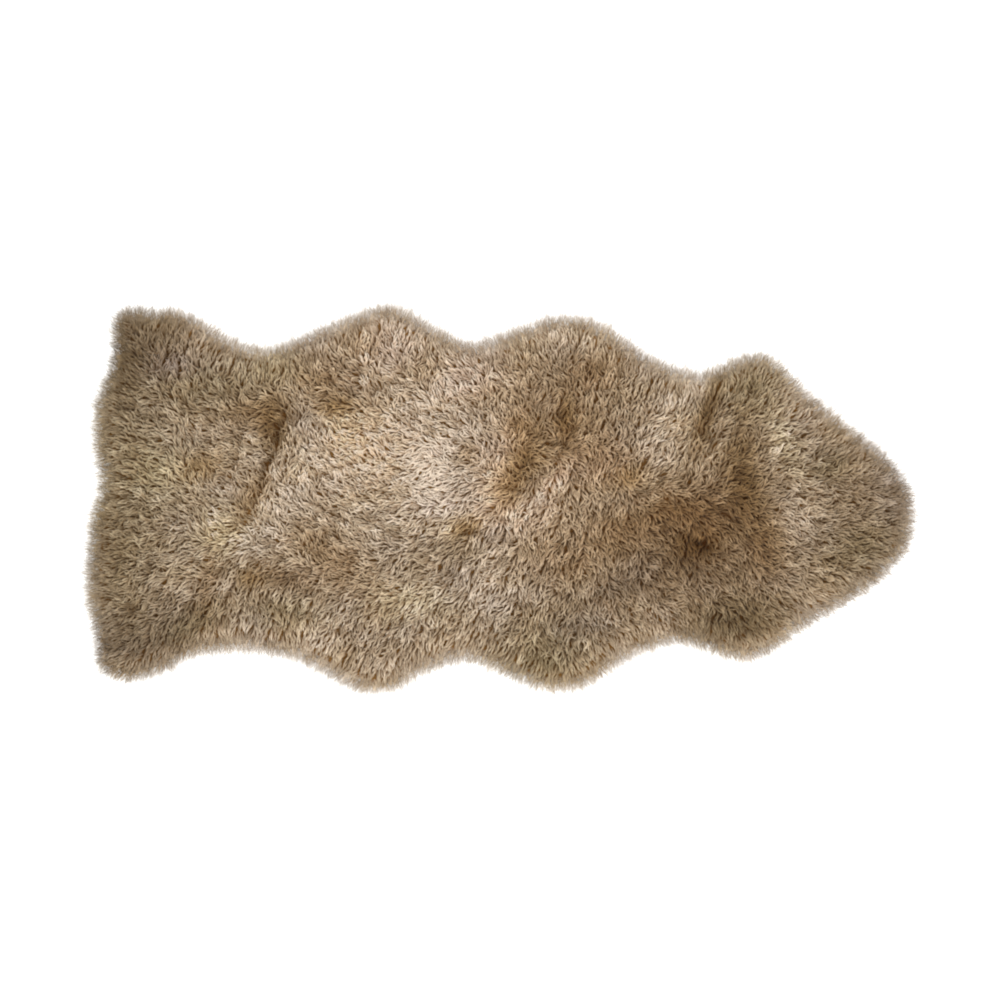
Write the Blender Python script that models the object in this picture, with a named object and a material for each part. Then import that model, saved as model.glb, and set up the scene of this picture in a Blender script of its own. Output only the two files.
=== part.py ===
"""A sheepskin rug lying flat on the floor, wool side up.

The hide is one flat tanned sheet. The fleece is the wool on it: a lumpy slab that takes the hide in
from below and falls to the floor past the hide's edge, with tapered locks lying round its rim.
Metres, +Z up, +X towards the nose end; the origin is on the floor under the middle of the rug.
"""

import math

import bmesh
import bpy
import numpy as np
from mathutils import Matrix, Vector
from mathutils.geometry import delaunay_2d_cdt

# Driving dimensions.
HIDE_THICKNESS = 0.0025
HIDE_INSET = 0.050  # the rim wool reaches this far past the hide's edge
GAP = 0.0003  # between the hide's top and the wool on it
POCKET_GAP = 0.002  # between the hide's edge and the wool that falls past it
PILE_HEIGHT = 0.043  # depth of the lying wool over the middle

# The outline that the wool reaches, as sections from the hind end to the nose end: where the upper
# and the lower rim pass, as (name, upper x, upper y, lower x, lower y).
SECTIONS = (
    ("hind corner", -0.841, 0.414, -0.826, -0.389),
    ("hind leg", -0.764, 0.415, -0.735, -0.373),
    ("hind leg end", -0.685, 0.411, -0.670, -0.337),
    ("hind bay start", -0.616, 0.366, -0.602, -0.326),
    ("hind bay", -0.514, 0.332, -0.514, -0.329),
    ("flank rise", -0.393, 0.374, -0.420, -0.353),
    ("flank shoulder", -0.306, 0.410, -0.341, -0.397),
    ("flank lobe", -0.239, 0.426, -0.265, -0.421),
    ("flank fall", -0.168, 0.391, -0.177, -0.378),
    ("waist bay", -0.068, 0.343, -0.090, -0.346),
    ("breast rise", 0.034, 0.374, -0.008, -0.367),
    ("breast shoulder", 0.105, 0.397, 0.055, -0.398),
    ("breast lobe", 0.170, 0.402, 0.125, -0.413),
    ("breast fall", 0.235, 0.374, 0.192, -0.399),
    ("neck slope", 0.326, 0.315, 0.272, -0.346),
    ("neck bay", 0.447, 0.278, 0.391, -0.308),
    ("cheek rise", 0.512, 0.306, 0.469, -0.329),
    ("cheek lobe", 0.558, 0.324, 0.527, -0.346),
    ("cheek fall", 0.603, 0.300, 0.592, -0.323),
    ("head slope", 0.668, 0.239, 0.651, -0.279),
    ("head", 0.759, 0.161, 0.742, -0.226),
    ("muzzle", 0.846, 0.090, 0.828, -0.168),
    ("muzzle end", 0.885, 0.034, 0.885, -0.101),
)
NOSE = ((0.898, -0.034),)
# The hind end between the two hind corners, from the lower one up.
HIND_END = (
    (-0.872, -0.363),
    (-0.878, -0.302),
    (-0.898, -0.233),
    (-0.896, -0.107),
    (-0.885, -0.016),
    (-0.870, 0.036),
    (-0.880, 0.120),
    (-0.876, 0.229),
    (-0.844, 0.304),
    (-0.841, 0.358),
)

# Partings and crests of the wool, each a straight fold from one point to another that fades out
# sideways, as (name, x, y, to x, to y, half width, rise). A falling one has a negative rise.
FOLDS = (
    ("hind parting", -0.465, 0.185, -0.515, 0.065, 0.026, -0.017),
    ("hind parting low", -0.515, 0.065, -0.562, -0.130, 0.022, -0.009),
    ("hind furrow", -0.630, -0.160, -0.755, -0.325, 0.024, -0.011),
    ("hind tuft", -0.505, -0.155, -0.455, -0.175, 0.030, -0.010),
    ("flank hollow", -0.350, 0.225, -0.330, 0.250, 0.030, -0.007),
    ("back crest", -0.420, 0.060, -0.300, -0.060, 0.060, 0.006),
    ("saddle crest", -0.165, 0.180, -0.150, 0.040, 0.050, 0.007),
    ("waist slit", -0.085, -0.076, -0.055, -0.076, 0.014, -0.010),
    ("breast hollow", 0.120, 0.190, 0.140, 0.180, 0.036, -0.010),
    ("breast furrow", 0.080, 0.060, 0.020, 0.010, 0.030, -0.012),
    ("breast crest", 0.235, 0.080, 0.290, 0.150, 0.050, 0.006),
    ("mane parting", 0.300, 0.085, 0.345, 0.075, 0.016, -0.010),
    ("mane crest", 0.435, 0.250, 0.370, 0.060, 0.036, 0.008),
    ("mane furrow", 0.462, 0.190, 0.458, 0.110, 0.020, -0.012),
    ("throat hollow", 0.330, -0.010, 0.440, -0.110, 0.050, -0.013),
    ("brow crest", 0.560, 0.130, 0.570, -0.130, 0.050, 0.007),
    ("belly crest", 0.060, -0.120, 0.190, -0.250, 0.060, 0.005),
    ("cheek hollow", 0.465, -0.250, 0.500, -0.270, 0.030, -0.007),
)

# The slab's side, as insets from the outline, and how its top rounds off towards it.
FOOT_INSET = 0.022
WALL_LEAN = 0.004  # the wall's top is this much further in than its foot
SHOULDER_INSET = 0.042
WALL_SHARE = 0.48  # the wall's height as a share of the pile's
ROUNDING = 0.022  # the rest rises over this distance, fast and then ever slower
TOP_SPACING = 0.025  # between neighbouring points of the top
CLOSEST = 0.6  # the least distance from the rim's and the folds' points, as a share of that

# Small lumps between the folds: waves in all directions, of these lengths, summed.
UNEVEN = 0.0045
LUMP_WAVES = 16
LUMP_LENGTH = (0.09, 0.26)
LUMP_SEED = 11

LOCKS = 220
LOCK_SEED = 7
# A lock's sections from its root out, as (share of its length, of its root's width, height).
LOCK_SECTIONS = ((0.5, 0.92, 0.013), (1.0, 0.34, 0.004))
LOCK_LENGTH = (0.017, 0.026)
LOCK_SHARE = 0.68  # of the rim, the rest being the gaps between the locks
LOCK_TURN = math.radians(14)  # how far a lock leans to either side

CURVE_STEPS = 24  # points between two outline points
OUTLINE_POINTS = 2400
CORNER_EASE = 0.005  # how far each side of a corner is rounded
CLEAR_SHARE = 0.98  # a moved point nearer than this to the curve it came from is on a loop

INSIDE_EDGES = 1  # the triangulation's output: the triangles inside its closed edge
SAME_POINT = 1e-6  # points nearer than this would count as one
SHARP_ANGLE = math.radians(50)  # edges that turn more than this are drawn sharp

HIDE_COLOUR, HIDE_ROUGHNESS = (0.62, 0.50, 0.36), 0.9
WOOL_COLOUR, WOOL_ROUGHNESS = (0.30, 0.21, 0.135), 0.95


def outline():
    """The wool's reach as evenly spaced points on a smooth closed curve, clockwise from above.

    Each stretch is a cubic whose slope at a point is the mean of the slopes on its two sides.
    """
    upper = [(row[1], row[2]) for row in SECTIONS]
    lower = [(row[3], row[4]) for row in reversed(SECTIONS)]
    at = np.array(upper + list(NOSE) + lower + list(HIND_END))
    step = np.roll(at, -1, 0) - at
    size = np.linalg.norm(step, axis=1)[:, None]
    before = np.roll(size, 1, 0)
    slope = (np.roll(step / size, 1, 0) * size + step / size * before) / (size + before)
    t = np.linspace(0, 1, CURVE_STEPS, endpoint=False)[None, :, None]
    start, end = at[:, None], np.roll(at, -1, 0)[:, None]
    leave, arrive = (slope * size)[:, None], (np.roll(slope, -1, 0) * size)[:, None]
    curve = (
        (2 * t**3 - 3 * t**2 + 1) * start
        + (t**3 - 2 * t**2 + t) * leave
        + (3 * t**2 - 2 * t**3) * end
        + (t**3 - t**2) * arrive
    ).reshape(-1, 2)
    return evened(curve, OUTLINE_POINTS)


def evened(curve, count):
    """A closed curve's points, spaced evenly along it."""
    closed = np.vstack([curve, curve[:1]])
    along = np.r_[0, np.cumsum(np.linalg.norm(np.diff(closed, axis=0), axis=1))]
    want = np.linspace(0, along[-1], count, endpoint=False)
    return np.column_stack([np.interp(want, along, closed[:, k]) for k in range(2)])


def eased(curve):
    """The curve with its corners rounded: each point the weighted mean of those near it."""
    step = np.linalg.norm(np.roll(curve, -1, 0) - curve, axis=1).mean()
    away = step * np.minimum(np.arange(len(curve)), len(curve) - np.arange(len(curve)))
    weight = np.exp(-0.5 * (away / CORNER_EASE) ** 2)
    spread = np.fft.rfft(weight / weight.sum())[:, None]
    return np.fft.irfft(np.fft.rfft(curve, axis=0) * spread, len(curve), axis=0)


def nearest(points, line):
    """Each point's distance from the nearest point of a closely dotted line."""
    return np.array([np.linalg.norm(line - point, axis=1).min() for point in points])


def inset(curve, distance):
    """The curve moved inwards, without the loops that its tight corners would make."""
    along = np.roll(curve, -1, 0) - np.roll(curve, 1, 0)
    along /= np.linalg.norm(along, axis=1)[:, None]
    moved = curve + distance * np.column_stack([along[:, 1], -along[:, 0]])
    clear = nearest(moved, curve) > CLEAR_SHARE * distance
    return eased(evened(moved[clear], OUTLINE_POINTS))


def lock_places(curve):
    """The outline places where each rim lock starts and ends, in turn."""
    starts, pitch = np.linspace(0, len(curve), LOCKS, endpoint=False, retstep=True)
    return np.column_stack([starts, starts + LOCK_SHARE * pitch]).ravel()


def at_places(curve, places):
    """The curve's points at these places, which may lie between two points."""
    low = np.floor(places).astype(int)
    share = (places - low)[:, None]
    return curve[low % len(curve)] * (1 - share) + curve[(low + 1) % len(curve)] * share


def lumps(x, y):
    """Unevenness of about 1 either way: waves that cross in all directions, summed."""
    random = np.random.default_rng(LUMP_SEED)
    total = 0
    for _ in range(LUMP_WAVES):
        turn, shift = random.uniform(0, 2 * math.pi, 2)
        length = random.uniform(*LUMP_LENGTH)
        across = x * math.cos(turn) + y * math.sin(turn)
        total = total + np.sin(2 * math.pi * across / length + shift)
    return total / math.sqrt(LUMP_WAVES)


def pile(x, y):
    """Height of the wool over the floor: the pile's height, its folds and small uneven lumps."""
    height = PILE_HEIGHT + UNEVEN * lumps(x, y)
    for _, x0, y0, x1, y1, half_width, rise in FOLDS:
        dx, dy = x1 - x0, y1 - y0
        share = np.clip(((x - x0) * dx + (y - y0) * dy) / (dx * dx + dy * dy), 0, 1)
        away = np.hypot(x - x0 - share * dx, y - y0 - share * dy)
        height = height + rise * np.exp(-((away / half_width) ** 2))
    return height


def spread_points(wall):
    """Points for the top away from its rim: along each fold, and in rows where no fold runs."""
    low, high = wall.min(0), wall.max(0)
    columns = np.arange(low[0], high[0], TOP_SPACING)
    rows = np.arange(low[1], high[1], TOP_SPACING * math.sqrt(0.75))
    x, y = np.meshgrid(columns, rows)
    x[1::2] += TOP_SPACING / 2
    rows = np.column_stack([x.ravel(), y.ravel()])
    folds = []
    for _, x0, y0, x1, y1, *_ in FOLDS:
        count = 2 + int(math.hypot(x1 - x0, y1 - y0) / TOP_SPACING)
        folds.append(np.column_stack([np.linspace(x0, x1, count), np.linspace(y0, y1, count)]))
    folds = np.concatenate(folds)
    points = np.vstack([folds, rows[nearest(rows, folds) > TOP_SPACING * CLOSEST]])
    rim_width = SHOULDER_INSET - FOOT_INSET - WALL_LEAN
    return points[nearest(points, wall) > rim_width + TOP_SPACING * CLOSEST]


def ring(mesh, points, height):
    """New vertices at these points and one height, in order round the rug."""
    return [mesh.verts.new((x, y, height)) for x, y in points]


def band(mesh, low, high):
    """Faces between two rings, one over the other, in order round the rug."""
    sides = zip(low, low[1:] + low[:1], high[1:] + high[:1], high)
    return [mesh.faces.new(corners) for corners in sides]


def make_top(mesh, curve, wall, places):
    """The slab's top, triangulated between its rim and points inside; returns the rim's vertices."""
    rim = at_places(wall, places)
    shoulder = at_places(inset(curve, SHOULDER_INSET), places[::2])
    points = np.vstack([rim, shoulder, spread_points(wall)])
    rise = 1 - (1 - WALL_SHARE) * np.exp(-nearest(points, wall) / ROUNDING)
    heights = rise * pile(points[:, 0], points[:, 1])
    vertices = [mesh.verts.new((x, y, z)) for (x, y), z in zip(points, heights)]
    edges = [(i, (i + 1) % len(rim)) for i in range(len(rim))]
    flat = [Vector(point) for point in points]
    _, _, faces, origins, _, _ = delaunay_2d_cdt(flat, edges, [], INSIDE_EDGES, SAME_POINT)
    for face in faces:
        mesh.faces.new([vertices[origins[corner][0]] for corner in face])
    outside = [vertex for vertex in vertices if not vertex.link_faces]
    bmesh.ops.delete(mesh, geom=outside, context="VERTS")
    return vertices[: len(rim)]


def grow_lock(mesh, root, random):
    """Draws one wall face out into a tapered lock that lies on the floor, tip outwards."""
    corners = [vertex.co.copy() for vertex in root.verts]
    middle = sum(corners, Vector()) / len(corners)
    out = Vector((root.normal.x, root.normal.y, 0)).normalized()
    side = Vector((-out.y, out.x, 0))
    length = random.uniform(*LOCK_LENGTH)
    bend = math.tan(random.uniform(-LOCK_TURN, LOCK_TURN)) * length
    face = root
    for share, width, height in LOCK_SECTIONS:
        face = bmesh.ops.extrude_discrete_faces(mesh, faces=[face])["faces"][0]
        centre = middle + out * length * share + side * bend * share**2
        for vertex, corner in zip(face.verts, corners):
            vertex.co = centre + side * (corner - middle).dot(side) * width
            vertex.co.z = height if corner.z > 0 else 0


def piece(name, mesh, colour, roughness):
    """A named object with its own material, from a finished bmesh."""
    bmesh.ops.recalc_face_normals(mesh, faces=mesh.faces)
    bmesh.ops.triangulate(mesh, faces=mesh.faces, quad_method="SHORT_EDGE")
    data = bpy.data.meshes.new(name)
    mesh.to_mesh(data)
    mesh.free()
    data.shade_smooth()
    data.set_sharp_from_angle(angle=SHARP_ANGLE)
    material = bpy.data.materials.new(name)
    material.use_nodes = True
    shader = material.node_tree.nodes["Principled BSDF"]
    shader.inputs["Base Color"].default_value = (*colour, 1)
    shader.inputs["Roughness"].default_value = roughness
    shader.inputs["Metallic"].default_value = 0
    data.materials.append(material)
    thing = bpy.data.objects.new(name, data)
    bpy.context.scene.collection.objects.link(thing)
    return thing


def make_hide(curve, places):
    """The tanned sheet: its outline raised by its thickness."""
    mesh = bmesh.new()
    points = at_places(inset(curve, HIDE_INSET), places)
    sheet = mesh.faces.new(ring(mesh, points, 0))
    raised = bmesh.ops.extrude_face_region(mesh, geom=[sheet])["geom"]
    top = [part for part in raised if isinstance(part, bmesh.types.BMVert)]
    bmesh.ops.translate(mesh, verts=top, vec=(0, 0, HIDE_THICKNESS))
    return piece("hide", mesh, HIDE_COLOUR, HIDE_ROUGHNESS)


def make_fleece(curve, places):
    """The wool: a lumpy top, a low wall with rim locks, and a hollow below that holds the hide."""
    mesh = bmesh.new()
    foot_line = inset(curve, FOOT_INSET)
    wall_top = make_top(mesh, curve, inset(foot_line, WALL_LEAN), places)
    wall = band(mesh, ring(mesh, at_places(foot_line, places), 0), wall_top)

    hollow = at_places(inset(curve, HIDE_INSET - POCKET_GAP), places[::2])
    roof = ring(mesh, hollow, HIDE_THICKNESS + GAP)
    band(mesh, ring(mesh, hollow, 0), roof)
    mesh.faces.new(roof)
    open_edges = [edge for edge in mesh.edges if edge.is_boundary]
    bmesh.ops.triangle_fill(mesh, edges=open_edges, use_beauty=True)

    bmesh.ops.recalc_face_normals(mesh, faces=mesh.faces)
    mesh.normal_update()
    random = np.random.default_rng(LOCK_SEED)
    for root in wall[::2]:
        grow_lock(mesh, root, random)
    return piece("fleece", mesh, WOOL_COLOUR, WOOL_ROUGHNESS)


def centre(things):
    """Moves the pieces together so that the middle of the whole rug is over the origin."""
    corners = np.array([vertex.co for thing in things for vertex in thing.data.vertices])
    middle = (corners.min(0) + corners.max(0)) / 2
    for thing in things:
        thing.data.transform(Matrix.Translation((-middle[0], -middle[1], 0)))


for old in list(bpy.data.objects):
    bpy.data.objects.remove(old)
reach = outline()
locks = lock_places(reach)
centre([make_hide(reach, locks[::2]), make_fleece(reach, locks)])
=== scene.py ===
import math

import bpy
import numpy as np
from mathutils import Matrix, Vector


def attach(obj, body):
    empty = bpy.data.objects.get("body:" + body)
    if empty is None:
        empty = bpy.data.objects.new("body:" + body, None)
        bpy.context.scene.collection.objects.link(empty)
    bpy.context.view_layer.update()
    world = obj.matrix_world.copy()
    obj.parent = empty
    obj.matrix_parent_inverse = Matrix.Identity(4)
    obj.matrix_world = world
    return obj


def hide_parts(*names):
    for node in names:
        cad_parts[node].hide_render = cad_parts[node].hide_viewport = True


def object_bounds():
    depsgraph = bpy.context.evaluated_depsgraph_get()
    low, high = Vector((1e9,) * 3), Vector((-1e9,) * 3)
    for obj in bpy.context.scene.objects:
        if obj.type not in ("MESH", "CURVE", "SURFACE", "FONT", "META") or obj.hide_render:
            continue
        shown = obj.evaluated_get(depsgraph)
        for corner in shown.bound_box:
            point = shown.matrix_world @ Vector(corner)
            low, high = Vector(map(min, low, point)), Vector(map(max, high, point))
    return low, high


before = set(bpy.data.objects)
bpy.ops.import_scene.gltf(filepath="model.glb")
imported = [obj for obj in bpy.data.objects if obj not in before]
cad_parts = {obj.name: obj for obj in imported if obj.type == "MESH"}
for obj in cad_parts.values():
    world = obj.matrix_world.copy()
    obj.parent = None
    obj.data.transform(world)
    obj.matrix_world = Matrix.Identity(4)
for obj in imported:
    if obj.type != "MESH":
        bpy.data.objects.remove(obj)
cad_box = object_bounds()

# ---- Hide ----------------------------------------------------------------------------------------
# One tanned sheepskin hide, trimmed to the pelt's outline, flat on the floor with its flesh side
# down. It keeps its own solid; what is made here is its finish, pale suede with a soft uneven nap.

HIDE_PALE, HIDE_DEEP = (0.66, 0.55, 0.41, 1), (0.50, 0.39, 0.27, 1)
CLOUD_SCALE, NAP_SCALE = 9, 900  # how many to the metre
NAP_DEPTH = 0.0004


class Socket:
    """One output of a shader node. Python's operators on it add Math nodes to its material."""

    def __init__(self, finish, output):
        self.finish, self.output = finish, output

    def math(self, operation, first, second):
        """A Math node on two values, each a number or a socket."""
        return self.finish.node("Math", {"operation": operation}, {0: first, 1: second})

    def __add__(self, other):
        return self.math("ADD", self, other)

    def __mul__(self, other):
        return self.math("MULTIPLY", self, other)

    __radd__, __rmul__ = __add__, __mul__


class Finish:
    """A material while it is put together. What is the same all over goes in as constants."""

    def __init__(self, name, constants):
        self.material = bpy.data.materials.new(name)
        self.material.use_nodes = True
        self.tree = self.material.node_tree
        self.surface = self.tree.nodes["Principled BSDF"]
        self.put(self.surface, constants)

    def put(self, node, values):
        """Sets or links a node's sockets."""
        for name, value in values.items():
            if isinstance(value, Socket):
                self.tree.links.new(value.output, node.inputs[name])
            else:
                node.inputs[name].default_value = value

    def node(self, kind, settings, values, output=0):
        """A new node of this kind, with its settings made first and its sockets then filled."""
        node = self.tree.nodes.new("ShaderNode" + kind)
        for name, value in settings.items():
            setattr(node, name, value)
        self.put(node, values)
        return Socket(self, node.outputs[output])


def suede_finish():
    """Suede: two tones mixed by soft clouds, under a fine matt nap that also makes the bump."""
    suede = Finish("hide_suede", {"Metallic": 0, "Sheen Weight": 0.3, "Specular IOR Level": 0.25})
    place = suede.node("TexCoord", {}, {}, "Object")
    clouds = suede.node("TexNoise", {}, {"Vector": place, "Scale": CLOUD_SCALE, "Detail": 4})
    nap = suede.node("TexNoise", {}, {"Vector": place, "Scale": NAP_SCALE, "Detail": 3})
    tone = suede.node(
        "Mix",
        {"data_type": "RGBA"},
        {"Factor": clouds * 0.8 + nap * 0.3, "A": HIDE_PALE, "B": HIDE_DEEP},
        "Result",
    )
    raised = suede.node("Bump", {}, {"Height": nap, "Strength": 0.5, "Distance": NAP_DEPTH})
    suede.put(suede.surface, {"Base Color": tone, "Roughness": 0.82 + nap * 0.15, "Normal": raised})
    return suede.material


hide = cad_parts["hide"]
hide.material_slots[0].material = suede_finish()

# ---- Under-wool ----------------------------------------------------------------------------------
# The short dense wool next to the hide, felted together and darker than the tips, partly by its own
# colour and partly by painted shade for the gaps between the locks. It has the form of the fleece's
# solid, a little lower, and shows only in the gaps between the locks.

UNDER_SHARE = 0.82  # its height as a share of the fleece's, above the hide
UNDER_BASE = 0.004  # what of the fleece lies lower than this keeps its height
UNDER_RIM = 0.95  # the share of the rim locks' reach that it leaves to the loose locks there
# Its colour: the roots' own dark brown, and painted shade for the gaps where it shows.
UNDER_TONE_AND_SHADE = np.array((0.105, 0.050, 0.014))
# Painted light: the under-wool is painted paler at the rim, where light reaches it through the thin
# wool.
UNDER_RIM_PAINTED_LIGHT = 0.6  # how much paler it is at the rim, where the wool is thin
# Painted shade: the under-wool is painted darker in the creases.
UNDER_CREASE_SHADE = 0.5  # how much darker it is in a full crease
RIM_WIDTH = 0.012  # how far in from the rim the thinner, paler wool goes
FELT_SCALE, FELT_DEPTH = 260, 0.003  # its curls to the metre, and how deep they are
SAME_POINT = 6  # decimals, in metres, to which joined points agree
CELL = 0.004  # of the grids below that hold the wool's height and the distance from its rim
MARGIN = 10 * CELL  # how far the grids reach round the solids' box
SOFTEN_SLOPE, SOFTEN_HEIGHT = 6, 3  # how many times two of the grids are softened
ABOVE = 0.2  # a height over all of the rug
SLAB_LEAST = 0.014  # the fleece is at least this high inside its side wall


def joined(mesh):
    """A mesh of loose triangles as (points, triangles), with the points that coincide made one."""
    points = np.empty(len(mesh.vertices) * 3, np.float32)
    mesh.vertices.foreach_get("co", points)
    corners = np.empty(len(mesh.loops), np.int32)
    mesh.loops.foreach_get("vertex_index", corners)
    points, which = np.unique(
        points.reshape(-1, 3).astype(float).round(SAME_POINT), axis=0, return_inverse=True
    )
    return points, which.ravel()[corners].reshape(-1, 3)


def new_piece(name, points, corners, sizes, material):
    """A piece on the body "root", from its points and its faces' corners, given one after another
    with each face's number of corners."""
    mesh = bpy.data.meshes.new(name)
    mesh.vertices.add(len(points))
    mesh.vertices.foreach_set("co", np.asarray(points, np.float32).ravel())
    mesh.loops.add(len(corners))
    mesh.loops.foreach_set("vertex_index", np.asarray(corners, np.int32))
    mesh.polygons.add(len(sizes))
    starts = np.r_[0, np.cumsum(sizes)[:-1]].astype(np.int32)
    mesh.polygons.foreach_set("loop_start", starts)
    mesh.update(calc_edges=True)
    mesh.shade_smooth()
    mesh.materials.append(material)
    piece = bpy.data.objects.new(name, mesh)
    bpy.context.scene.collection.objects.link(piece)
    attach(piece, "root")
    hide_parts("fleece")
    return piece


def coloured(mesh, colours, cover):
    """Gives a mesh's points their colours and how far they cover what is behind them, as the
    attribute that the wool's finishes read."""
    whole = np.concatenate([colours, np.broadcast_to(cover, colours.shape[:-1])[..., None]], -1)
    tones = mesh.color_attributes.new("wool_colour_and_shade", "FLOAT_COLOR", "POINT")
    tones.data.foreach_set("color", whole.astype(np.float32).ravel())


def under_finish():
    """Felted wool: the fleece's colour with its painted shade, dark, in fine clouds that are also
    the bump.
    """
    felt = Finish("under_wool", {"Metallic": 0, "Specular IOR Level": 0.1})
    place = felt.node("TexCoord", {}, {}, "Object")
    curls = felt.node("TexNoise", {}, {"Vector": place, "Scale": FELT_SCALE, "Detail": 4})
    colour = felt.node("Attribute", {"attribute_name": "wool_colour_and_shade"}, {}, "Color")
    tone = felt.node(
        "VectorMath", {"operation": "SCALE"}, {"Vector": colour, "Scale": 0.2 + curls * 1.6}
    )
    raised = felt.node("Bump", {}, {"Height": curls, "Strength": 1, "Distance": FELT_DEPTH})
    felt.put(felt.surface, {"Base Color": tone, "Roughness": 0.9 + curls * 0.1, "Normal": raised})
    return felt.material


def height_grid():
    """The fleece's height over a grid of points, from its solid, by dropping the grid onto it."""
    low, high = np.array(cad_box[0]), np.array(cad_box[1])
    x = np.arange(low[0] - MARGIN, high[0] + MARGIN, CELL)
    y = np.arange(low[1] - MARGIN, high[1] + MARGIN, CELL)
    over = np.stack([*np.meshgrid(x, y), np.full((len(y), len(x)), ABOVE)], -1)
    mesh = bpy.data.meshes.new("height_probe")
    mesh.vertices.add(over.size // 3)
    mesh.vertices.foreach_set("co", over.ravel())
    probe = bpy.data.objects.new("height_probe", mesh)
    bpy.context.scene.collection.objects.link(probe)
    drop = probe.modifiers.new("drop", "SHRINKWRAP")
    drop.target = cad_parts["fleece"]
    drop.wrap_method, drop.use_project_z = "PROJECT", True
    drop.use_negative_direction, drop.use_positive_direction = True, False
    found = probe.evaluated_get(bpy.context.evaluated_depsgraph_get()).data
    dropped = np.empty(over.size)
    found.vertices.foreach_get("co", dropped)
    bpy.data.objects.remove(probe)
    bpy.data.meshes.remove(mesh)
    height = dropped.reshape(over.shape)[..., 2]
    return np.array((x[0], y[0])), np.where(height < ABOVE / 2, height, 0)


def rim_distance(slab):
    """Each grid point's distance from the slab's side wall, in metres: more than 0 inside it."""
    padded = np.pad(slab, 1)
    around = padded[:-2, 1:-1] & padded[2:, 1:-1] & padded[1:-1, :-2] & padded[1:-1, 2:]
    wall = np.argwhere(slab & ~around).astype(np.float32)
    nearest = np.empty(slab.shape, np.float32)
    columns = np.arange(slab.shape[1], dtype=np.float32)[:, None]
    for row in range(slab.shape[0]):
        square = (wall[:, 0] - row) ** 2 + (columns - wall[:, 1]) ** 2
        nearest[row] = np.sqrt(square.min(1))
    return np.where(slab, nearest, -nearest) * CELL


def softened(grid, times):
    """The grid with each point made the mean of itself and its neighbours, so many times."""
    for _ in range(times):
        wide = np.pad(grid, 1, mode="edge")
        grid = (
            4 * grid + wide[:-2, 1:-1] + wide[2:, 1:-1] + wide[1:-1, :-2] + wide[1:-1, 2:]
        ) / 8
    return grid


def read(grid, points):
    """The grid's values at points of the floor plan: the mean of the four round each point, by
    nearness."""
    place = (points - grid_corner) / CELL
    column = np.clip(place[..., 0], 0, grid.shape[1] - 1.001)
    row = np.clip(place[..., 1], 0, grid.shape[0] - 1.001)
    i, j = row.astype(int), column.astype(int)
    up, along = row - i, column - j
    low = grid[i, j] * (1 - along) + grid[i, j + 1] * along
    high = grid[i + 1, j] * (1 - along) + grid[i + 1, j + 1] * along
    return low * (1 - up) + high * up


grid_corner, fleece_height = height_grid()
inside = rim_distance(fleece_height > SLAB_LEAST)
slope_y, slope_x = np.gradient(softened(inside, SOFTEN_SLOPE), CELL)


def outward(points):
    """The way out of the rug at each point of the floor plan: down the slope of the distance from
    the slab's side wall, as a unit vector."""
    out = -np.stack([read(slope_x, points), read(slope_y, points)], -1)
    return out / (np.linalg.norm(out, axis=-1)[..., None] + 1e-9)
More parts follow.
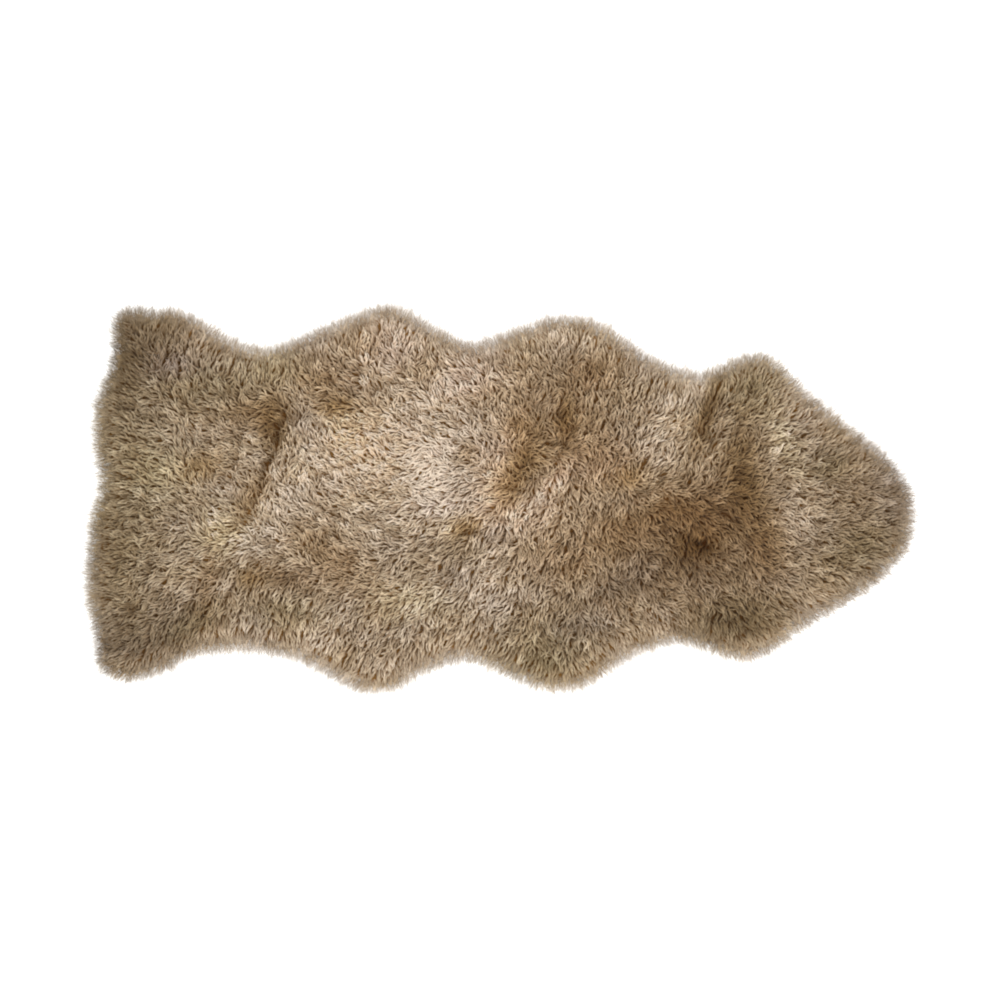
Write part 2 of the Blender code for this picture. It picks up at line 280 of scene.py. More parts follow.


# Where the fleece is lighter or darker than its mean, and in what hue: soft ovals as seen in the
# photo, each as (zone, x, y, half length, half width, turn in degrees, shade, hue). They give the
# wool's own
# tone and also painted light and shade: the hollows, furrows and the parting are painted darker,
# the ridges and crests lighter, and the hind edges and corners darker where the light falls less.
TONE_AND_SHADE_OVALS = (
    ("hind end", -0.82, 0.04, 0.10, 0.37, 0, "dim", "olive"),
    ("back", -0.24, 0.07, 0.26, 0.16, 0, "pale", "even"),
    ("back middle", -0.28, 0.12, 0.10, 0.08, 0, "pale", "warm"),
    ("breast", 0.14, 0.15, 0.13, 0.15, 0, "dim", "warm"),
    ("throat", 0.41, -0.09, 0.16, 0.13, 0, "dark", "warm"),
    ("nose", 0.76, -0.02, 0.13, 0.20, 0, "dim", "even"),
    ("hind upper corner", -0.79, 0.34, 0.10, 0.08, 0, "dark", "even"),
    ("hind upper edge", -0.82, 0.25, 0.07, 0.05, 90, "dim", "even"),
    ("hind patch", -0.71, 0.29, 0.05, 0.03, 0, "even", "mauve"),
    ("hind lower edge", -0.85, -0.12, 0.08, 0.04, 90, "dim", "even"),
    ("hind middle", -0.73, 0.06, 0.06, 0.06, 0, "pale", "olive"),
    ("hind lower corner", -0.81, -0.31, 0.11, 0.06, 8, "dark", "grey"),
    ("hind lower side", -0.73, -0.23, 0.08, 0.03, 0, "dim", "even"),
    ("hind furrow", -0.63, -0.18, 0.07, 0.02, 80, "dim", "warm"),
    ("hind furrow end", -0.67, -0.27, 0.07, 0.03, 30, "dark", "olive"),
    ("loin hollow", -0.64, 0.07, 0.05, 0.03, 10, "dim", "brown"),
    ("loin upper side", -0.62, 0.24, 0.09, 0.05, 0, "dim", "olive"),
    ("loin lower side", -0.60, -0.07, 0.07, 0.06, 20, "pale", "olive"),
    ("loin ridge", -0.47, -0.01, 0.12, 0.04, 52, "pale", "even"),
    ("parting foot", -0.54, 0.00, 0.07, 0.02, 62, "dim", "warm"),
    ("parting", -0.49, 0.16, 0.05, 0.03, 90, "deep", "brown"),
    ("parting side", -0.54, 0.19, 0.07, 0.04, 0, "dim", "warm"),
    ("flank top", -0.49, 0.28, 0.07, 0.04, 0, "even", "olive"),
    ("flank", -0.38, 0.26, 0.08, 0.05, 0, "dim", "warm"),
    ("flank hollow", -0.35, 0.20, 0.04, 0.02, 15, "dark", "brown"),
    ("shoulder rim", -0.25, 0.33, 0.08, 0.05, 0, "pale", "pink"),
    ("saddle", -0.17, 0.21, 0.05, 0.05, 0, "pale", "even"),
    ("saddle top", -0.07, 0.26, 0.10, 0.06, 0, "pale", "pink"),
    ("back palest", -0.15, 0.06, 0.08, 0.05, 90, "bright", "grey"),
    ("back palest foot", -0.13, -0.02, 0.04, 0.02, 0, "pale", "grey"),
    ("whorl", -0.10, 0.13, 0.06, 0.03, 30, "pale", "grey"),
    ("whorl eye", -0.07, 0.10, 0.02, 0.02, 0, "dim", "warm"),
    ("saddle side", -0.01, 0.07, 0.08, 0.04, 80, "pale", "pink"),
    ("waist hollow", -0.07, -0.06, 0.04, 0.02, 20, "dim", "brown"),
    ("waist", 0.03, -0.03, 0.10, 0.05, 170, "pale", "pink"),
    ("breast furrow", 0.04, 0.06, 0.07, 0.03, 62, "dark", "brown"),
    ("breast knee", 0.04, 0.15, 0.05, 0.03, 80, "even", "warm"),
    ("breast hollow", 0.14, 0.17, 0.05, 0.02, 90, "dark", "brown"),
    ("breast spot", 0.20, 0.27, 0.05, 0.03, 0, "dim", "warm"),
    ("breast rim", 0.13, 0.35, 0.10, 0.03, 0, "pale", "even"),
    ("breast ridge", 0.12, 0.04, 0.05, 0.02, 50, "bright", "pink"),
    ("breast side", 0.22, 0.08, 0.06, 0.05, 0, "even", "pink"),
    ("breast tuft", 0.28, 0.05, 0.03, 0.03, 0, "dim", "brown"),
    ("mane", 0.36, 0.17, 0.10, 0.03, 58, "pale", "even"),
    ("mane foot", 0.35, 0.09, 0.05, 0.04, 60, "pale", "even"),
    ("mane furrow", 0.45, 0.19, 0.07, 0.02, 72, "deep", "brown"),
    ("mane rim", 0.44, 0.25, 0.05, 0.03, 0, "pale", "even"),
    ("throat top", 0.36, -0.03, 0.08, 0.04, 12, "dim", "warm"),
    ("throat middle", 0.45, -0.03, 0.07, 0.07, 0, "dim", "warm"),
    ("throat hollow", 0.42, -0.10, 0.04, 0.03, 0, "deep", "brown"),
    ("throat side", 0.25, -0.07, 0.07, 0.05, 0, "dim", "warm"),
    ("brow", 0.52, 0.06, 0.11, 0.04, 90, "deep", "brown"),
    ("brow foot", 0.57, -0.10, 0.08, 0.04, 100, "dark", "warm"),
    ("cheek", 0.35, -0.16, 0.13, 0.05, 0, "dim", "grey"),
    ("cheek hollow", 0.51, -0.26, 0.10, 0.05, 8, "deep", "olive"),
    ("crown", 0.54, 0.24, 0.07, 0.05, 30, "dim", "olive"),
    ("forehead", 0.61, 0.13, 0.08, 0.03, 115, "pale", "olive"),
    ("head upper side", 0.71, 0.07, 0.04, 0.03, 0, "dim", "olive"),
    ("head", 0.65, -0.04, 0.07, 0.05, 100, "pale", "even"),
    ("head lower side", 0.78, -0.11, 0.08, 0.05, 20, "dim", "olive"),
    ("nose tip", 0.86, 0.00, 0.10, 0.04, 90, "dim", "grey"),
    ("tuft", -0.54, -0.17, 0.03, 0.02, 0, "dark", "brown"),
    ("tuft tail", -0.46, -0.17, 0.06, 0.02, 170, "dark", "warm"),
    ("lower flank", -0.36, -0.13, 0.09, 0.05, 140, "dim", "warm"),
    ("groin", -0.46, -0.24, 0.08, 0.03, 0, "dim", "olive"),
    ("groin rim", -0.39, -0.29, 0.05, 0.05, 0, "pale", "even"),
    ("belly flank", -0.19, -0.22, 0.08, 0.04, 0, "pale", "olive"),
    ("belly notch", -0.10, -0.13, 0.03, 0.05, 0, "dim", "even"),
    ("belly patch", -0.03, -0.19, 0.07, 0.05, 0, "pale", "grey"),
    ("belly middle", 0.13, -0.13, 0.08, 0.05, 0, "dim", "warm"),
    ("belly shade", 0.22, -0.21, 0.10, 0.03, 10, "dim", "even"),
    ("belly side", 0.19, -0.28, 0.10, 0.03, 0, "dim", "grey"),
    ("belly rim", 0.10, -0.31, 0.10, 0.05, 0, "dim", "olive"),
    ("belly edge", 0.09, -0.36, 0.08, 0.03, 0, "dim", "olive"),
)
# What the words stand for: lightness, and (warmth, redness). A lightness of 1 is about a factor of
# e in colour.
SHADES = {"deep": -0.95, "dark": -0.64, "dim": -0.32, "even": 0, "pale": 0.32, "bright": 0.64}
HUES = {
    "mauve": (-0.25, 0.04), "grey": (-0.1, 0), "olive": (0.1, -0.05), "even": (0, 0),
    "pink": (0, 0.05), "warm": (0.15, 0.04), "brown": (0.3, 0.02),
}
# Small unevenness of both all over: (size, seed, shortest and longest wave).
UNEVEN_LIGHT, UNEVEN_WARM = (0.11, 5, 0.020, 0.07), (0.03, 6, 0.05, 0.2)

# Where the wool falls apart in a crease, which is lower and painted darker as shade: (crease, x0,
# y0, x1, y1, half width, depth as a share).
FURROWS = (
    ("parting top", -0.469, 0.183, -0.482, 0.161, 0.006, 0.6),
    ("parting", -0.482, 0.161, -0.486, 0.118, 0.006, 0.9),
    ("parting bend", -0.493, 0.092, -0.512, 0.075, 0.006, 1.2),
    ("parting lower", -0.514, 0.060, -0.521, 0.025, 0.007, 0.7),
    ("parting end", -0.530, 0.000, -0.556, -0.047, 0.009, 0.5),
    ("waist", -0.088, -0.077, -0.051, -0.071, 0.004, 0.9),
    ("breast foot", -0.008, 0.028, 0.070, 0.016, 0.007, 0.6),
    ("breast curl", 0.098, 0.120, 0.142, 0.116, 0.005, 0.7),
    ("throat", 0.449, -0.008, 0.527, -0.062, 0.006, 0.6),
    ("throat low", 0.423, -0.092, 0.456, -0.105, 0.006, 0.9),
    ("brow", 0.458, 0.134, 0.462, 0.110, 0.007, 0.8),
    ("cheek", 0.352, 0.066, 0.345, 0.031, 0.005, 0.4),
)
FURROW_DROP = 0.007
HUE_RATES = np.array((0.87, 1.0, 1.21))  # lighter wool is greyer, darker wool more brown
WARM_RATES, RED_RATES = np.array((0.25, 0.0, -0.8)), np.array((1.0, 0.0, 0.0))


def waves(points, size, seed, shortest, longest, count=14):
    """Smooth unevenness of about this size either way: sine waves that cross in all directions,
    summed."""
    random = np.random.default_rng(seed)
    total = 0
    for _ in range(count):
        turn, shift = random.uniform(0, 2 * math.pi, 2)
        length = random.uniform(shortest, longest)
        across = points[..., 0] * math.cos(turn) + points[..., 1] * math.sin(turn)
        total = total + np.sin(2 * math.pi * across / length + shift)
    return size * (total / math.sqrt(count / 2))


def tone_and_shade(points):
    """The fleece's lightness, warmth and redness at each point beside its mean, with painted light
    and
    shade among them: the sum of the ovals, each fading out as a bell curve, and of small uneven
    waves."""
    tones_and_shade = np.zeros((len(points), 3))
    tones_and_shade[:, 0] = waves(points, *UNEVEN_LIGHT)
    tones_and_shade[:, 1] = waves(points, *UNEVEN_WARM)
    for _, x, y, long, wide, turn, tone, hue in TONE_AND_SHADE_OVALS:
        cos, sin = math.cos(math.radians(turn)), math.sin(math.radians(turn))
        dx, dy = points[:, 0] - x, points[:, 1] - y
        along, across = (dx * cos + dy * sin) / long, (dy * cos - dx * sin) / wide
        tones_and_shade += np.exp(-(along**2) - across**2)[:, None] * (SHADES[tone], *HUES[hue])
    return tones_and_shade


def furrowed(points):
    """How deep in a crease each point lies: the sum of the creases' depths, each fading as a bell
    curve with the distance from its middle line."""
    deep = 0
    for _, x0, y0, x1, y1, wide, depth in FURROWS:
        along = np.array((x1 - x0, y1 - y0))
        from_start = points - (x0, y0)
        share = np.clip((from_start * along).sum(-1) / (along**2).sum(), 0, 1)
        away = np.linalg.norm(from_start - share[..., None] * along, axis=-1)
        deep = deep + depth * np.exp(-((away / wide) ** 2))
    return deep


def near_rim(points):
    """1 at the rim and outside it, and fading to 0 further in."""
    return np.exp(-np.maximum(read(inside, points), 0) / RIM_WIDTH)


def shade(tones_and_shade):
    """The factors of red, green and blue for wool this much lighter, warmer and redder than the
    mean."""
    return np.exp(tones_and_shade @ np.stack([HUE_RATES, WARM_RATES, RED_RATES]))


fleece_points, fleece_faces = joined(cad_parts["fleece"].data)
beyond = UNDER_RIM * np.minimum(read(inside, fleece_points[:, :2]), 0)
lowered = fleece_points.copy()
lowered[:, :2] += outward(fleece_points[:, :2]) * beyond[:, None]
lowered[:, 2] -= (1 - UNDER_SHARE) * np.maximum(fleece_points[:, 2] - UNDER_BASE, 0)
under_wool = new_piece(
    "under_wool", lowered, fleece_faces.ravel(), [3] * len(fleece_faces), under_finish()
)
# The fleece's tone at each point, with its painted light and shade.
under_tones_and_shade = tone_and_shade(lowered[:, :2])
# Painted shade: darker in the creases.
under_tones_and_shade[:, 0] -= UNDER_CREASE_SHADE * furrowed(lowered[:, :2])
# Painted light: paler at the rim.
under_tones_and_shade[:, 0] += UNDER_RIM_PAINTED_LIGHT * near_rim(lowered[:, :2])
coloured(under_wool.data, UNDER_TONE_AND_SHADE * shade(under_tones_and_shade), 1)

# ---- Wool coat -----------------------------------------------------------------------------------
# The long wool: wavy locks that root in the hide, rise through the under-wool and lie over, each on
# the roots of the next, the way they were combed, and gather into staples. Five coats interleave
# and together cover the rug evenly. Locks are dark and warm at the root and paler towards the tip:
# partly the wool's own colour, as the tips bleach paler, and partly painted shade deep in the pile.

FRINGE = 0.024  # the wool outside the slab's wall lies on the floor this far out
WALL_HEIGHT, TIP_HEIGHT = 0.022, 0.003  # the wool's height at the wall and at the outer end
PROUD = np.array((0.030, 0.016, 0.0095))  # how far locks' middles may leave the solids' box
WIDEST, HIGHEST = (np.array(cad_box[1]) + PROUD)[:2], cad_box[1][2] + PROUD[2]

# The way the wool was combed, as (x, y, degrees from +X towards +Y), zone by zone.
COMBING = {
    "upper rim": (
        (-0.818, 0.367, 115), (-0.746, 0.365, 85), (-0.679, 0.365, 100), (-0.627, 0.326, 72),
        (-0.519, 0.289, 90), (-0.406, 0.332, 100), (-0.324, 0.365, 90), (-0.233, 0.367, 103),
        (-0.194, 0.365, 78), (-0.157, 0.332, 107), (-0.107, 0.298, 142), (-0.053, 0.296, 135),
        (0.001, 0.296, 118), (0.049, 0.332, 105), (0.114, 0.365, 95), (0.185, 0.365, 86),
        (0.293, 0.300, 97), (0.363, 0.261, 75), (0.428, 0.229, 80), (0.499, 0.261, 58),
        (0.569, 0.293, 60), (0.640, 0.226, 38), (0.742, 0.127, 28), (0.813, 0.088, 18),
    ),
    "nose": (
        (0.850, 0.018, 3), (0.850, -0.014, 0), (0.850, -0.053, 357), (0.770, -0.153, 355),
        (0.705, -0.226, 350), (0.634, -0.261, 335), (0.569, -0.291, 310), (0.499, -0.291, 295),
    ),
    "lower rim": (
        (0.326, -0.291, 310), (0.259, -0.328, 288), (0.190, -0.361, 290), (0.118, -0.361, 267),
        (0.049, -0.361, 250), (-0.021, -0.328, 235), (-0.092, -0.296, 243), (-0.161, -0.328, 245),
        (-0.226, -0.365, 250), (-0.298, -0.365, 242), (-0.367, -0.328, 250), (-0.439, -0.291, 267),
        (-0.540, -0.291, 270), (-0.612, -0.291, 265), (-0.681, -0.296, 230), (-0.753, -0.328, 220),
        (-0.822, -0.326, 210),
    ),
    "hind rim": (
        (-0.854, -0.259, 192), (-0.850, -0.153, 180), (-0.854, -0.014, 180), (-0.822, 0.053, 172),
        (-0.854, 0.157, 165), (-0.822, 0.226, 150), (-0.818, 0.272, 130),
    ),
    "hind back": (
        (-0.753, 0.157, 150), (-0.681, 0.159, 130), (-0.612, 0.157, 140), (-0.579, 0.131, 176),
        (-0.508, 0.153, 180), (-0.644, 0.109, 138), (-0.540, 0.088, 168), (-0.473, 0.114, 60),
        (-0.681, 0.053, 140), (-0.612, 0.053, 130), (-0.540, 0.053, 135), (-0.506, 0.051, 80),
        (-0.647, -0.153, 170), (-0.681, -0.187, 210), (-0.612, -0.187, 255),
    ),
    "flank": (
        (-0.439, 0.138, 98), (-0.406, 0.105, 117), (-0.367, 0.088, 125), (-0.335, 0.122, 170),
        (-0.302, 0.088, 138), (-0.265, 0.088, 150), (-0.233, 0.088, 178), (-0.151, 0.088, 180),
        (-0.092, 0.066, 178), (-0.350, 0.192, 168), (-0.302, 0.192, 150), (-0.194, 0.192, 130),
        (-0.092, 0.192, 130), (-0.471, 0.018, 100), (-0.439, 0.018, 125), (-0.367, 0.018, 145),
        (-0.302, 0.018, 160), (-0.194, 0.034, 178), (-0.367, -0.086, 130), (-0.302, -0.086, 150),
        (-0.432, -0.053, 145),
    ),
    "saddle": (
        (-0.053, 0.192, 127), (-0.021, 0.192, 110), (0.012, 0.192, 100), (-0.092, 0.157, 150),
        (-0.023, 0.157, 130), (-0.021, 0.088, 85), (0.016, 0.088, 110), (-0.053, 0.018, 220),
        (-0.021, 0.018, 205), (0.066, 0.153, 105), (0.114, 0.153, 90), (0.174, 0.153, 90),
        (0.222, 0.153, 90), (0.088, 0.122, 20), (0.153, 0.118, 15), (0.114, 0.088, 350),
        (0.196, 0.105, 315), (0.209, 0.070, 270), (0.222, 0.030, 268), (0.150, 0.040, 270),
        (0.110, 0.040, 262), (0.074, 0.010, 250), (0.265, 0.060, 275), (0.293, 0.095, 80),
        (0.326, 0.088, 55), (0.358, 0.094, 40),
    ),
    "mane": (
        (0.395, 0.088, 62), (0.428, 0.088, 62), (0.467, 0.088, 75), (0.499, 0.088, 50),
        (0.534, 0.088, 35), (0.569, 0.088, 25), (0.608, 0.088, 20), (0.651, 0.023, 5),
        (0.738, 0.001, 0), (0.651, -0.064, 345),
    ),
    "belly": (
        (-0.161, -0.053, 205), (-0.092, -0.053, 215), (-0.021, -0.051, 220), (0.016, -0.047, 250),
        (0.114, -0.053, 258), (0.153, -0.053, 270), (0.222, -0.053, 280), (0.293, -0.053, 295),
        (0.363, -0.053, 325), (0.467, -0.053, 315), (0.534, -0.053, 330), (0.569, -0.053, 340),
        (-0.161, -0.086, 200), (-0.107, -0.086, 223), (-0.038, -0.086, 240), (0.012, -0.086, 265),
        (0.395, -0.086, 275), (0.467, -0.086, 295), (0.534, -0.086, 315), (0.608, -0.086, 340),
    ),
    "lower flank": (
        (-0.319, -0.187, 190), (-0.229, -0.187, 200), (-0.194, -0.187, 215), (-0.125, -0.187, 225),
        (-0.092, -0.187, 235), (0.012, -0.187, 240), (0.081, -0.187, 255), (0.153, -0.187, 270),
        (0.222, -0.187, 285), (0.293, -0.187, 295), (0.363, -0.187, 310), (0.428, -0.187, 315),
        (0.467, -0.187, 300), (0.499, -0.187, 290), (0.569, -0.187, 310), (0.640, -0.187, 335),
        (-0.753, -0.259, 215), (-0.681, -0.259, 225), (-0.644, -0.259, 240), (-0.612, -0.259, 260),
        (-0.508, -0.259, 270), (-0.335, -0.259, 240), (-0.248, -0.259, 232), (-0.107, -0.259, 237),
        (0.049, -0.259, 245), (0.118, -0.259, 270), (0.222, -0.259, 285), (0.293, -0.259, 310),
        (0.363, -0.259, 315), (0.467, -0.259, 290), (0.534, -0.259, 300), (0.608, -0.259, 325),
    ),
}
COMBING_SPREAD = 0.014  # a row counts fully this near it, and ever less further off
OUTWARD_NEAR, OUTWARD_SHARE = 0.030, 0.6  # near the rim the wool also turns straight outwards

# The roots' colour: partly the wool's own, darker than the bleached tips, and partly painted shade
# deep in the pile.
WOOL_TIP, WOOL_ROOT_AND_SHADE = np.array((0.467, 0.362, 0.249)), np.array((0.120, 0.058, 0.016))
PALEST = np.array((0.68, 0.57, 0.45))
STAPLE_TONE, LOCK_TONE = 0.12, 0.05  # how much staples and locks differ in brightness

COATS, COAT_LOCKS = 5, 9300
WOOL_SEED = 23
EVEN_STEPS = (0.7548776662466927, 0.5698402909980532)  # their multiples fill a square evenly
PLACE_JITTER = 0.0015
OUTERMOST = 0.012  # no lock is placed further outside the slab's wall than this
LOCK_LENGTH = (0.018, 0.036)
LOCK_HALF_WIDTH = (0.0012, 0.0030)
LOCK_DEPTH = 0.45  # a lock's depth as a share of its width
LOCK_ROLL = 0.3  # how far a lock is turned about its own length, in radians
LOCK_REACH = (-0.1, 0.5)  # how far out the locks end, as a share of the fringe
LOCK_LEAST = 0.25  # no lock is made shorter than this share of itself to end there
LOCK_DRIFT = 0.010  # a lock lies the way that the wool this far off does
ROOTWARD = 0.45  # the share of a lock before the point that it is placed by
RINGS = 4  # rings of a lock before its tip
PALE_FROM, PALE_CURVE = 0.75, 1.3  # where its tip's tone is reached, and how late it comes in
FIBRES_PER_LOCK, FIBRES_APART = (8.0, 5.0), 500  # streaks round a lock and along it

# Each lock has a cell of its own on the colour map, in sides of a lock and steps along it: where in
# it the lock starts, how wide it is, and how many columns of cells there are for each row of them.
MAP_START, MAP_WIDTH, MAP_COLUMNS = (0.25, 0.75), 3.5, 2.2

# How far locks turn from the combing, in radians: two unevennesses that neighbours share, as (size,
# seed, shortest and longest wave), and each lock's own. Near the rim they turn less.
CURL_WIDE, CURL_NARROW = (0.24, 31, 0.06, 0.14), (0.26, 32, 0.02, 0.05)
CURL_OWN = 0.33
CURL_RIM, CURL_LEAST = 0.06, 0.35  # how far in that goes, and the share that is left

# Strays are the share of locks that lie astray: turned more, thinner and a little higher.
STRAYS, STRAY_CURL, STRAY_LIFT, STRAY_FINENESS = 0.10, 0.7, 0.003, 0.6

STAPLE_SPACING = 0.021
STAPLE_SEED, STAPLE_OWN_SEED = 123, 223  # of the staples' places, and of what they differ in
BOX_AREA = 1.517  # of the rug's box in the floor plan, over which the staples are spread
LOCK_PARTS = 40  # the locks' staples are looked up in so many parts, to save memory
STAPLE_GATHER = 0.8  # how far a lock's tip is drawn to its staple's middle, at most
STAPLE_LIFT = 0.0050  # how much higher or lower than its neighbours a staple lies

CRIMP, CRIMP_VARIES, CRIMP_LIMIT = 0.018, 0.003, 1.5  # the length of one wave of a lock
CRIMP_WAVES = (1, 41, 0.05, 0.1)
PHASE_WAVES, PHASE_OWN = (4, 42, 0.015, 0.05), 0.8  # where in its wave a lock starts, in radians
SWAY, SWAY_RISE = (0.0005, 0.0020), 0.9  # sideways, and upwards as a share of that

ROOT_DEPTH = (0.006, 0.012)  # below the wool's top
TIP_LIFT, BOW = 0.003, 0.004  # the tip's distance from it, and the middle's height over it
LEAST_HEIGHT, FLOOR_CLEAR = 0.0015, 0.0003  # of a lock's middle line, and of all of its points
CALM_WIDTH, CALM_WALL, CALM_LEAST = 0.04, 0.8, 0.3  # locks rise and sway less near the rim
RIM_FINENESS = 0.7  # how wide the locks at the rim are, as a share
FINE_WIDTH = 0.06  # how far in that share would be 1 more, but it stops at 1
# Painted light: near the rim the coats' roots are painted paler, nearer the tips' tone, where light
# reaches them.
COAT_RIM_PAINTED_LIGHT = 0.4  # how near the roots there are to the tips' tone

wool_height = softened(
    np.where(
        inside > 0,
        fleece_height,
        TIP_HEIGHT + (WALL_HEIGHT - TIP_HEIGHT) * np.clip(1 + inside / FRINGE, 0, 1),
    ),
    SOFTEN_HEIGHT,
)

combed = np.array([row for zone in COMBING.values() for row in zone])


def combing(points):
    """Which way the wool lies at each point, as a unit vector: the mean of the combing's rows by
    nearness, turned outwards near the rim."""
    way = np.radians(combed[:, 2])
    away = ((points[:, None] - combed[None, :, :2]) ** 2).sum(-1)
    weight = 1 / (away + COMBING_SPREAD**2) ** 2
    lie = weight @ np.column_stack([np.cos(way), np.sin(way)])
    lie /= np.linalg.norm(lie, axis=1)[:, None] + 1e-9
    near = OUTWARD_SHARE * np.exp(-np.maximum(read(inside, points), 0) / OUTWARD_NEAR)
    lie = lie * (1 - near[:, None]) + outward(points) * near[:, None]
    return lie / (np.linalg.norm(lie, axis=1)[:, None] + 1e-9)


def evenly(count, random):
    """So many points spread evenly over the rug's box: multiples of two irrational steps, wrapped
    round, from a random start."""
    low, high = np.array(cad_box[0])[:2], np.array(cad_box[1])[:2]
    steps = np.arange(count)[:, None] * EVEN_STEPS
    return low + (steps + random.uniform(0, 1, 2)) % 1 * (high - low)


def turned(lie, angle):
    """Unit vectors of the floor plan, each turned by its angle."""
    cos, sin = np.cos(angle), np.sin(angle)
    return np.column_stack([lie[:, 0] * cos - lie[:, 1] * sin, lie[:, 0] * sin + lie[:, 1] * cos])


def spines(places, drift, length, curl, rings, rootward):
    """Each lock's middle line in the floor plan, through its place: straight from its root to
    there, then in equal steps along the combing near each point, turned by the lock's curl."""
    step = (length / rings)[:, None]
    back, ahead = [places], [places]
    from_root = turned(combing(places + drift), curl) * step
    for _ in range(round(rings * rootward)):
        back.append(back[-1] - from_root)
    for _ in range(rings - round(rings * rootward)):
        ahead.append(ahead[-1] + turned(combing(ahead[-1] + drift), curl) * step)
    return np.stack(back[:0:-1] + ahead, 1)


def sideways(line):
    """The unit vectors square to a plan line at each of its points, to its left."""
    along = np.gradient(line, axis=1)
    along /= np.linalg.norm(along, axis=2)[..., None] + 1e-12
    return np.stack([-along[..., 1], along[..., 0]], -1)


def within(line, reach):
    """Lines drawn shorter towards their roots where they would end further out than their reach."""
    start, end = read(inside, line[:, 0]), read(inside, line[:, -1])
    share = np.where(end < -reach, (start + reach) / np.maximum(start - end, 1e-6), 1)
    return line[:, :1] + (line - line[:, :1]) * np.clip(share, LOCK_LEAST, 1)[:, None, None]


def nearest_staple(places, staples):
    """Which staple is nearest each place."""
    parts = np.array_split(places, LOCK_PARTS)
    return np.concatenate([((part[:, None] - staples) ** 2).sum(-1).argmin(1) for part in parts])


def locks_mesh(line, side, lift, half_width, half_depth):
    """Tapered three-sided locks: a ridge and two lower edges round each point of a line, set off
    along its side and lift vectors, and a closed tip at the line's last point. Returns the points
    and the faces' corners: all four-sided faces, then the tips' and roots' triangles."""
    angle = np.radians((90, 210, 330))
    across = half_width[:, :, None, None] * np.cos(angle)[:, None] * side[:, :, None]
    rise = half_depth[:, :, None, None] * np.sin(angle)[:, None] * lift[:, :, None]
    rings = line[:, :-1, None] + (across + rise)[:, :-1]
    count, steps = rings.shape[:2]
    points = np.concatenate([rings.reshape(count, -1, 3), line[:, -1:]], 1)
    k, corner = np.arange(steps - 1)[:, None], np.arange(3)[None]
    after = (corner + 1) % 3
    quads = np.stack(
        [3 * k + corner, 3 * k + after, 3 * k + 3 + after, 3 * k + 3 + corner], -1
    ).reshape(-1)
    last = 3 * (steps - 1)
    tips = np.stack([last + corner[0], last + after[0], np.full(3, 3 * steps)], -1).reshape(-1)
    faces = np.r_[quads, tips, 2, 1, 0]
    sizes = np.r_[np.full(3 * (steps - 1), 4), np.full(4, 3)]
    start = np.arange(count)[:, None] * (3 * steps + 1)
    return points.reshape(-1, 3), (start + faces).ravel(), np.tile(sizes, count)


def locks_map(count, steps):
    """Each face corner's place on the colour map: a cell of its own for each lock, with the three
    sides next to one another and the lock's length upwards."""
    k, corner = np.arange(steps - 1)[:, None], np.arange(3)[None]
    u0, u1 = corner + 0 * k, corner + 1 + 0 * k
    v0, v1 = k + 0 * corner, k + 1 + 0 * corner
    quads = np.stack([u0, v0, u1, v0, u1, v1, u0, v1], -1).reshape(-1, 2)
    top = np.full(3, steps - 1)
    tips = np.stack([corner[0], top, corner[0] + 1, top, corner[0] + 0.5, top + 1], -1)
    root = np.array([(1, 0), (2, 0), (1.5, -0.5)])
    flat = np.concatenate([quads, tips.reshape(-1, 2), root[::-1]])
    flat = (flat + MAP_START) / (MAP_WIDTH, steps + 1)
    columns = math.ceil(math.sqrt(count * MAP_COLUMNS))
    rows = math.ceil(count / columns)
    cell = np.column_stack([np.arange(count) % columns, np.arange(count) // columns])
    return ((cell[:, None] + flat) / (columns, rows)).reshape(-1, 2)


def wool_finish(name, fades):
    """Wool fibre: the lock's own colour streaked along its length, with the streaks as bump. One
    that fades is thin enough at its tip for light to pass."""
    wool = Finish(
        name,
        {
            "Metallic": 0, "Specular IOR Level": 0.1,
            "Sheen Weight": 0.03, "Sheen Roughness": 0.5,
        },
    )
    fibres = wool.node("UVMap", {"uv_map": "fibres"}, {})
    colour = wool.node("Attribute", {"attribute_name": "wool_colour_and_shade"}, {}, "Color")
    streaks = wool.node(
        "TexNoise", {"noise_dimensions": "2D"}, {"Vector": fibres, "Scale": 1, "Detail": 2}
    )
    toned = wool.node(
        "VectorMath", {"operation": "SCALE"}, {"Vector": colour, "Scale": 0.7 + streaks * 0.6}
    )
    raised = wool.node("Bump", {}, {"Height": streaks, "Strength": 0.2, "Distance": 0.0005})
    wool.put(
        wool.surface, {"Base Color": toned, "Roughness": 0.7 + streaks * 0.2, "Normal": raised}
    )
    if fades:
        cover = wool.node("Attribute", {"attribute_name": "wool_colour_and_shade"}, {}, "Alpha")
        wool.put(wool.surface, {"Alpha": cover})
    return wool.material


